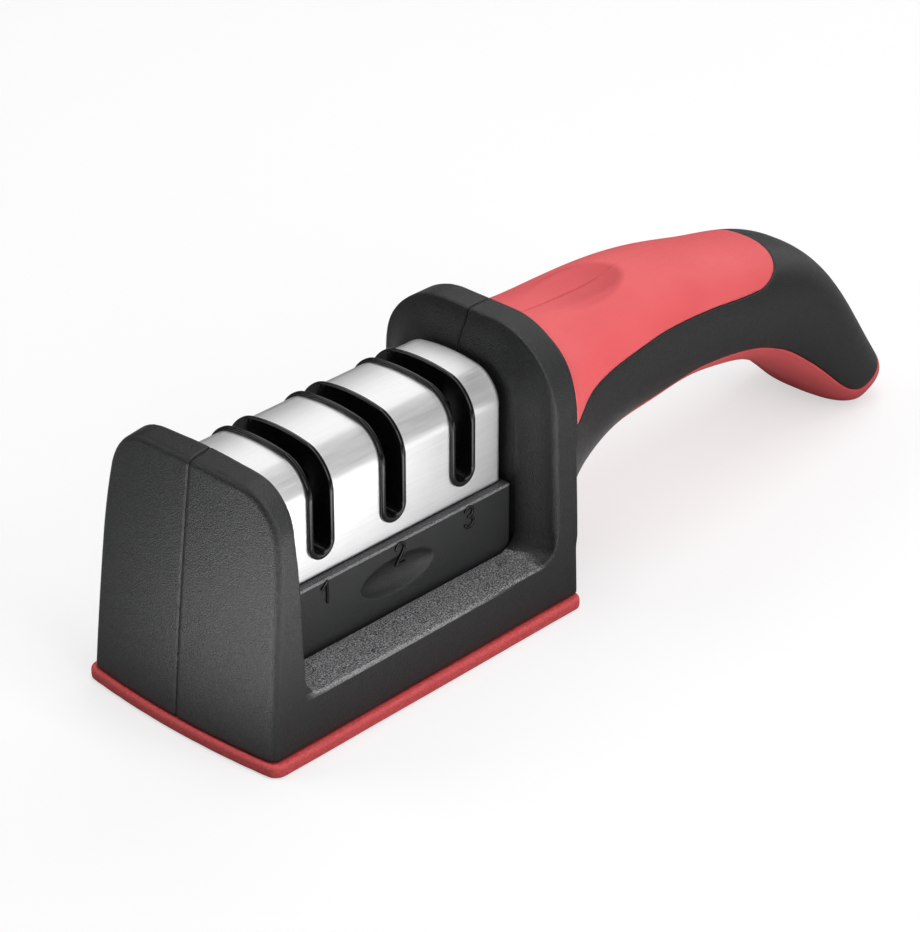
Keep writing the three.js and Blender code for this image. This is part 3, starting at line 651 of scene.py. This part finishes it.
class Finish:
    """A Principled material with a small set of helpers for its node tree."""

    def __init__(self, name, color, roughness, **plain):
        self.material = bpy.data.materials.new(name)
        self.material.use_nodes = True
        self.tree = self.material.node_tree
        self.shader = self.tree.nodes["Principled BSDF"]
        self.place = self.tree.nodes.new("ShaderNodeTexCoord").outputs["Object"]
        self.shader.inputs["Base Color"].default_value = (*color, 1)
        self.shader.inputs["Roughness"].default_value = roughness
        for key, value in plain.items():
            self.shader.inputs[key.replace("_", " ")].default_value = value

    def link(self, start, end):
        self.tree.links.new(start, end)

    def stretched(self, scale):
        """Object coordinates multiplied by a scale along each axis."""
        node = self.tree.nodes.new("ShaderNodeMapping")
        node.inputs["Scale"].default_value = scale
        self.link(self.place, node.inputs["Vector"])
        return node.outputs["Vector"]

    def noise(self, scale, detail=2.0, rough=0.5, vector=None):
        node = self.tree.nodes.new("ShaderNodeTexNoise")
        node.inputs["Scale"].default_value = scale
        node.inputs["Detail"].default_value = detail
        node.inputs["Roughness"].default_value = rough
        self.link(vector or self.place, node.inputs["Vector"])
        return node.outputs["Fac"]

    def grains(self, scale, smooth=0.3):
        node = self.tree.nodes.new("ShaderNodeTexVoronoi")
        node.feature = "SMOOTH_F1"
        node.inputs["Scale"].default_value = scale
        node.inputs["Smoothness"].default_value = smooth
        self.link(self.place, node.inputs["Vector"])
        return node.outputs["Distance"]

    def span(self, value, low, high, start=0.3, end=0.7):
        node = self.tree.nodes.new("ShaderNodeMapRange")
        node.inputs["From Min"].default_value = start
        node.inputs["From Max"].default_value = end
        node.inputs["To Min"].default_value = low
        node.inputs["To Max"].default_value = high
        self.link(value, node.inputs["Value"])
        return node.outputs["Result"]

    def blend(self, value, low, high, start=0.3, end=0.7):
        """Colour from low to high as a noise value goes from start to end."""
        node = self.tree.nodes.new("ShaderNodeValToRGB")
        stops = node.color_ramp.elements
        stops[0].position, stops[0].color = start, (*low, 1)
        stops[1].position, stops[1].color = end, (*high, 1)
        self.link(value, node.inputs["Fac"])
        return node.outputs["Color"]

    def between(self, value, low, high, soft, peak=1):
        """The peak where a value is between low and high, falling to 0 over soft on both sides."""
        rise = self.span(value, 0, peak, low - soft, low)
        fall = self.span(value, 1, 0, high, high + soft)
        return self.math("MULTIPLY", rise, fall)

    def math(self, operation, first, second):
        node = self.tree.nodes.new("ShaderNodeMath")
        node.operation = operation
        self.link(first, node.inputs[0])
        self.link(second, node.inputs[1])
        return node.outputs[0]

    def vector(self, operation, first, second=(0, 0, 0)):
        """Vector maths on a vector and a constant; a length comes out as a value."""
        node = self.tree.nodes.new("ShaderNodeVectorMath")
        node.operation = operation
        self.link(first, node.inputs[0])
        node.inputs[1].default_value = second
        return node.outputs["Value" if operation == "LENGTH" else "Vector"]

    def axes(self):
        """Object coordinates, one output for each axis."""
        node = self.tree.nodes.new("ShaderNodeSeparateXYZ")
        self.link(self.place, node.inputs[0])
        return node.outputs

    def along_bay(self, bands):
        """Masks bands beside the cartridge, each near to far across, low to high, and how strong."""
        axes = self.axes()
        across = self.tree.nodes.new("ShaderNodeMath")
        across.operation = "ABSOLUTE"
        self.link(axes["Y"], across.inputs[0])
        along = self.between(axes["X"], place_along(10.5), place_along(70), 0.002)
        masks = []
        for near, far, low, high, peak in bands:
            wide = self.between(across.outputs[0], near, far, 0.0001, peak)
            level = self.between(axes["Z"], low, high, 0.0001)
            masks.append(self.math("MULTIPLY", wide, level))
        return self.math("MULTIPLY", along, self.math("MAXIMUM", *masks))

    def thumb_rest_shade(self):
        """Painted shade in the oval thumb rest on top of the handle: rises from 0 to 1 along it towards the
        tail, and is 0 outside it.
        """
        axes = self.axes()
        along = self.span(axes["X"], 0, 1, place_along(93), place_along(111))
        high = self.span(axes["Z"], 0, 1, 0.045, 0.047)
        centred = self.vector("ADD", self.place, (-place_along(104.2), 0, 0))
        oval = self.vector("LENGTH", self.vector("MULTIPLY", centred, (1 / 0.0125, 1 / 0.0078, 0)))
        return self.math("MULTIPLY", self.math("MULTIPLY", along, high), self.span(oval, 1, 0, 0.9, 1.02))

    def mixed(self, share, first, second):
        node = self.tree.nodes.new("ShaderNodeMix")
        node.data_type = "RGBA"
        self.link(share, node.inputs["Factor"])
        self.link(first, node.inputs["A"])
        self.link(second, node.inputs["B"])
        return node.outputs["Result"]

    def color(self, output):
        self.link(output, self.shader.inputs["Base Color"])

    def roughness(self, output):
        self.link(output, self.shader.inputs["Roughness"])

    def bump(self, height, distance, strength=1.0):
        node = self.tree.nodes.new("ShaderNodeBump")
        node.inputs["Distance"].default_value = distance
        node.inputs["Strength"].default_value = strength
        self.link(height, node.inputs["Height"])
        self.link(node.outputs["Normal"], self.shader.inputs["Normal"])


# Bands beside the cartridge where glints and edge highlights are painted, in metres: nearest and farthest
# from the middle, lowest and highest, and how strong. In each pair the first band is the housing's ledge and
# the second is the cartridge's shelf under the cover.
LEDGE_GLINT_BANDS = ((0.0149, 0.0235, 0.0122, 0.0136, 1.0), (0.0127, 0.0143, 0.0269, 0.0273, 0.3))
LEDGE_HIGHLIGHT_BANDS = ((0.02355, 0.0238, 0.0118, 0.0132, 0.8), (0.0143, 0.0146, 0.0267, 0.0273, 0.6))


def make_abs(name):
    """Fine spark-eroded texture. On the ledge and the shelf beside the cartridge the grain is painted with
    bright glints, and painted highlights run along their outer edges.
    """
    finish = Finish(name, (0.012, 0.0125, 0.013), 0.38)
    grain = finish.noise(3800, 2, 0.55)
    plain = finish.blend(grain, (0.0082, 0.0089, 0.0092), (0.0198, 0.0214, 0.0219), 0.35, 0.68)
    # painted glints: bright grain that stands in for light catching the ledge and the shelf
    painted_glints = finish.blend(grain, (0.022, 0.0225, 0.023), (0.5, 0.505, 0.51), 0.42, 0.72)
    # painted highlight along the outer edges of the ledge and the shelf
    painted_edge_highlight = finish.blend(grain, (0.06, 0.061, 0.062), (0.42, 0.425, 0.43), 0.3, 0.6)
    with_glints = finish.mixed(finish.along_bay(LEDGE_GLINT_BANDS), plain, painted_glints)
    finish.color(finish.mixed(finish.along_bay(LEDGE_HIGHLIGHT_BANDS), with_glints, painted_edge_highlight))
    finish.roughness(finish.span(finish.noise(900, 2), 0.34, 0.42))
    finish.bump(grain, 0.00013, 1.0)
    return finish.material


def make_grip(name):
    finish = Finish(name, (0.84, 0.115, 0.125), 0.55)
    cloud = finish.noise(45, 3)
    red = finish.blend(cloud, (0.80, 0.098, 0.108), (0.87, 0.13, 0.138))
    # darker red: painted shade inside the thumb rest
    shaded_red = finish.blend(cloud, (0.64, 0.065, 0.074), (0.70, 0.08, 0.09))
    finish.color(finish.mixed(finish.thumb_rest_shade(), red, shaded_red))
    finish.roughness(finish.span(finish.noise(1500, 2), 0.5, 0.62))
    finish.bump(finish.noise(2600, 2), 0.00003, 0.5)
    return finish.material


def make_sole(name):
    finish = Finish(name, (0.75, 0.09, 0.095), 0.55)
    grain = finish.noise(1900, 3, 0.6)
    finish.color(finish.blend(grain, (0.62, 0.065, 0.07), (0.85, 0.115, 0.12), 0.32, 0.7))
    finish.roughness(finish.span(grain, 0.5, 0.7))
    finish.bump(grain, 0.00012, 0.8)
    return finish.material


def make_steel(name):
    finish = Finish(name, (0.94, 0.94, 0.945), 0.36, Metallic=1.0)
    streak = finish.noise(1, 4, 0.65, finish.stretched((110, 3600, 3600)))
    finish.color(finish.blend(streak, (0.89, 0.89, 0.895), (0.97, 0.97, 0.975), 0.3, 0.7))
    finish.roughness(finish.span(streak, 0.38, 0.46))
    finish.bump(streak, 0.0000015, 0.5)
    return finish.material


def make_gloss(name):
    finish = Finish(name, (0.004, 0.004, 0.0045), 0.16, Specular_IOR_Level=0.4)
    cloud = finish.noise(900, 2)
    finish.color(finish.blend(cloud, (0.003, 0.003, 0.0033), (0.006, 0.006, 0.0063)))
    finish.roughness(finish.span(cloud, 0.14, 0.22))
    finish.bump(finish.noise(260, 2), 0.00001, 0.4)
    return finish.material


def make_zinc(name):
    finish = Finish(name, (0.6, 0.61, 0.63), 0.35, Metallic=1.0)
    cloud = finish.noise(500, 3)
    finish.color(finish.blend(cloud, (0.52, 0.53, 0.56), (0.66, 0.66, 0.66)))
    finish.roughness(finish.span(finish.noise(1800, 2), 0.28, 0.45))
    finish.bump(finish.noise(3000, 2), 0.00003, 0.5)
    return finish.material


def make_diamond(name):
    finish = Finish(name, (0.35, 0.36, 0.37), 0.5, Metallic=0.7)
    grit = finish.grains(3800)
    finish.color(finish.blend(grit, (0.55, 0.56, 0.57), (0.18, 0.19, 0.2), 0.1, 0.6))
    finish.roughness(finish.span(grit, 0.35, 0.7, 0.1, 0.6))
    finish.bump(grit, -0.00012, 0.9)
    return finish.material


def make_carbide(name):
    finish = Finish(name, (0.24, 0.25, 0.26), 0.3, Metallic=1.0)
    lines = finish.noise(1, 3, 0.6, finish.stretched((4200, 300, 260)))
    finish.color(finish.blend(lines, (0.19, 0.2, 0.21), (0.3, 0.31, 0.32)))
    finish.roughness(finish.span(lines, 0.22, 0.4))
    finish.bump(lines, 0.00002, 0.6)
    return finish.material


def make_ceramic(name):
    finish = Finish(name, (0.86, 0.84, 0.78), 0.5)
    cloud = finish.noise(1200, 3)
    finish.color(finish.blend(cloud, (0.82, 0.8, 0.74), (0.88, 0.86, 0.81)))
    finish.roughness(finish.span(cloud, 0.42, 0.6))
    finish.bump(finish.noise(4200, 2), 0.00003, 0.6)
    return finish.material


ABS = make_abs("black_abs")
RAISED = make_gloss("raised_numerals")
GRIP = make_grip("red_grip")
SOLE = make_sole("red_sole")
STEEL = make_steel("brushed_steel")
GLOSS = make_gloss("gloss_black")
ZINC = make_zinc("zinc")
DIAMOND = make_diamond("diamond_grit")
CARBIDE = make_carbide("carbide")
CERAMIC = make_ceramic("ceramic")


# ---------------------------------------------------------------- the housing's pieces

SIDES = (("left", -1), ("right", 1))
ROD_SIDES = (("a", -1), ("b", 1))


def half_box(side, x0, x1, half, z0, z1):
    """Corners of a box over one side of the middle plane, and just past it."""
    ys = (-half, 0.4) if side < 0 else (-0.4, half)
    return (x0, ys[0], z0), (x1, ys[1], z1)


for word, side in SIDES:
    low, high = half_box(side, -2.2, 196.5, 25, 0.0, 58.3)
    make(f"shell_{word}", "housing", ABS, contour(housing_field(side), low, high, 0.48),
         [f"housing_{word}"])
    low, high = half_box(side, 81, 158.5, 23.5, 36, 58.3)
    make(f"thumb_grip_{word}", "housing", GRIP,
         contour(grip_field(top_region, side, 0.15), low, high, 0.42), [f"top_grip_{word}"])
    low, high = half_box(side, 91, 196.5, 16, -0.2, 31)
    make(f"finger_grip_{word}", "housing", GRIP,
         contour(grip_field(under_region, side, 0), low, high, 0.42), [f"under_grip_{word}"])

make("sole", "housing", SOLE, contour(pad_field, (-2.9, -26, -0.4), (82.2, 26, 3.0), 0.45),
     ["base_pad"])

base_screw = contour(screw_field(1.4, 2.9, 1.3, 8.1, 1.1), (-3.2, -3.2, -1.6), (3.2, 3.2, 8.4), 0.16)
for i, (sx, sy) in enumerate(BASE_SCREWS, 1):
    make(f"sole_screw_{i}", "housing", ZINC, turned(base_screw, (sx, sy, 2.5), (0, 0, 1)),
         [f"base_screw_{i}"])
handle_screw = contour(screw_field(1.5, 2.9, 1.9, 15.7, 1.2), (-3.2, -3.2, -2.2), (3.2, 3.2, 16.0), 0.17)
for i, (sx, sz) in enumerate(HANDLE_SCREWS, 1):
    make(f"grip_screw_{i}", "housing", ZINC, turned(handle_screw, (sx, 7.3, sz), (0, -1, 0)),
         [f"handle_screw_{i}"])


# ---------------------------------------------------------------- the cartridge's pieces

make("cartridge_body", "cartridge", ABS,
     contour(frame_field, (9.8, -15, 10.2), (72, 15, 51), 0.42), ["cartridge_frame"])
make("cartridge_base", "cartridge", ABS,
     contour(floor_field, (9.8, -15, 7.2), (72, 15, 10.8), 0.42), ["cartridge_floor"])
make("arched_cover", "cartridge", STEEL,
     contour(cover_field, (9.8, -13.1, 27.1), (71.2, 13.1, 52.1), 0.34), ["steel_cover"])
for i, centre in enumerate(STAGES, 1):
    make(f"slot_liner_{i}", "cartridge", GLOSS,
         contour(guide_field(centre), (centre - 4, -14, 30), (centre + 4, 14, 53), 0.27),
         [f"slot_guide_{i}"])
    for word, side in SIDES:
        strokes, start = NUMERALS[i - 1], NUMERAL_STARTS[i - 1]
        ys = sorted((side * 14.1, side * 15.0))
        make(f"numeral_{i}_{word}", "cartridge", RAISED,
             contour(numeral_field(strokes, start, side), (start - 0.6, ys[0], 21.8),
                     (start + 2.8, ys[1], 27.1), 0.11))

cartridge_screw = contour(screw_field(1.2, 2.4, 1.1, 10.0, 1.0), (-2.7, -2.7, -1.4), (2.7, 2.7, 10.3), 0.15)
for i, centre in enumerate(PARTITIONS, 1):
    make(f"cartridge_fixing_{i}", "cartridge", ZINC,
         turned(cartridge_screw, (centre, 0, 9.0), (0, 0, 1)), [f"cartridge_screw_{i}"])

HONE_ANGLE = math.radians(20)
ROD_FOOT = 19
ROD_CROSSING = 30.2
rod = rod_mesh(2.0, 27.5 / math.cos(HONE_ANGLE))
for stage, centre, finish, slot in (("diamond", STAGES[0], DIAMOND, "diamond"),
                                    ("ceramic", STAGES[2], CERAMIC, "ceramic")):
    for letter, side in ROD_SIDES:
        tilt = math.tan(HONE_ANGLE) * side
        foot = (centre + (ROD_FOOT - ROD_CROSSING) * tilt, side * 2.4, ROD_FOOT)
        make(f"{stage}_stick_{letter}", "cartridge", finish, turned(rod, foot, (tilt, 0, 1)),
             [f"{stage}_rod_{letter}"])

blade = blade_mesh(6.6, 23.0, 1.6, 1.8)
for letter, side in ROD_SIDES:
    lean_over = (math.tan(HONE_ANGLE) * side, 0, 1)
    make(f"carbide_cutter_{letter}", "cartridge", CARBIDE,
         turned(blade, (STAGES[1], side * 0.95, 27), lean_over), [f"carbide_blade_{letter}"])

# CAD nodes inside the tool that keep their own shape.
for material, nodes in ((ABS, ("base_plate", "diamond_rod_holder", "ceramic_rod_holder", "blade_holder")),
                        (ZINC, ("blade_screw", "blade_nut"))):
    for node in nodes:
        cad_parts[node].data.materials.clear()
        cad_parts[node].data.materials.append(material)


# ---------------------------------------------------------------- floor, light and camera

def stage_floor():
    """A table that looks white to the camera, but lights the object like a grey card."""
    mesh = bpy.data.meshes.new("floor")
    reach = 0.45
    mesh.from_pydata([(-reach, -reach, 0), (reach, -reach, 0), (reach, reach, 0), (-reach, reach, 0)], [],
                     [(0, 1, 2, 3)])
    floor = bpy.data.objects.new("floor", mesh)
    floor.location.z = -0.0001
    finish = Finish("studio_floor", (0.4, 0.4, 0.4), 0.9, Specular_IOR_Level=0.0)
    tree = finish.tree
    white = tree.nodes.new("ShaderNodeEmission")
    white.inputs["Strength"].default_value = 0.58
    shade = tree.nodes.new("ShaderNodeBsdfDiffuse")
    shade.inputs["Color"].default_value = (0.47, 0.47, 0.47, 1)
    seen = tree.nodes.new("ShaderNodeAddShader")
    finish.link(white.outputs[0], seen.inputs[0])
    finish.link(shade.outputs[0], seen.inputs[1])
    choice = tree.nodes.new("ShaderNodeMixShader")
    finish.link(tree.nodes.new("ShaderNodeLightPath").outputs["Is Camera Ray"], choice.inputs[0])
    finish.link(finish.shader.outputs[0], choice.inputs[1])
    finish.link(seen.outputs[0], choice.inputs[2])
    finish.link(choice.outputs[0], tree.nodes["Material Output"].inputs["Surface"])
    mesh.materials.append(finish.material)
    bpy.context.collection.objects.link(floor)


def area_light(name, place, aim, size, power):
    data = bpy.data.lights.new(name, "AREA")
    data.shape = "RECTANGLE"
    data.size, data.size_y = size
    data.energy = power
    light = bpy.data.objects.new(name, data)
    light.location = place
    light.rotation_euler = (Vector(aim) - Vector(place)).to_track_quat("-Z", "Y").to_euler()
    light.visible_camera = False
    bpy.context.collection.objects.link(light)


# Softboxes: name, direction they shine from, watts. Bounce cards on the table: name, centre, size, watts.
SOFTBOXES = (
    ("overhead", (0, 0, 1), 2.6),
    ("over_near", (0, -0.5, 0.85), 1.8),
    ("far_left", (-0.45, 0.6, 0.66), 1.5),
    ("far_right", (0.6, 0.5, 0.62), 1.0),
    ("near", (0, -0.9, 0.4), 2.7),
    ("tail", (0.9, 0, 0.4), 1.2),
)
CARDS = (
    ("front_card", (-0.19, -0.02), (0.13, 0.12), 0.23),
    ("near_card", (-0.06, -0.11), (0.12, 0.08), 0.13),
    ("near_right_card", (0.09, -0.17), (0.16, 0.08), 0.1),
    ("under_card", (0.02, 0), (0.05, 0.03), 0.002),
)


SOFTBOX_DISTANCE = 0.9
SOFTBOX_SIZE = (0.5, 0.5)
CARD_HEIGHT = 0.0005


def light_studio():
    middle = Vector((0, 0, 0.025))
    for name, direction, power in SOFTBOXES:
        place = middle + Vector(direction).normalized() * SOFTBOX_DISTANCE
        area_light(name, place, middle, SOFTBOX_SIZE, power)
    for name, (x, y), size, power in CARDS:
        area_light(name, (x, y, CARD_HEIGHT), (x, y, 1), size, power)


def add_camera():
    turn = math.radians(43.63)
    drop = math.radians(29.21)
    distance = 0.6868
    forward = Vector((math.cos(turn) * math.cos(drop), math.sin(turn) * math.cos(drop), -math.sin(drop)))
    target = Vector((ORIGIN_X + 72.95, 0, 24.49)) / 1000
    data = bpy.data.cameras.new("camera")
    data.lens = 139.056
    data.sensor_width = 36
    data.clip_end = 20
    camera = bpy.data.objects.new("camera", data)
    camera.location = target - forward * distance
    camera.rotation_euler = forward.to_track_quat("-Z", "Y").to_euler()
    bpy.context.collection.objects.link(camera)
    bpy.context.scene.camera = camera


def surround():
    """White to the camera all round the table, but only a faint fill light on the object."""
    world = bpy.data.worlds.new("studio")
    world.use_nodes = True
    tree = world.node_tree
    fill = tree.nodes["Background"]
    seen = tree.nodes.new("ShaderNodeBackground")
    for background, strength in ((fill, 0.1), (seen, 1.0)):
        background.inputs["Color"].default_value = (1, 1, 1, 1)
        background.inputs["Strength"].default_value = strength
    choice = tree.nodes.new("ShaderNodeMixShader")
    tree.links.new(tree.nodes.new("ShaderNodeLightPath").outputs["Is Camera Ray"], choice.inputs[0])
    tree.links.new(fill.outputs[0], choice.inputs[1])
    tree.links.new(seen.outputs[0], choice.inputs[2])
    tree.links.new(choice.outputs[0], tree.nodes["World Output"].inputs["Surface"])
    bpy.context.scene.world = world


stage_floor()
light_studio()
surround()
add_camera()
bpy.context.scene.view_settings.view_transform = "Standard"
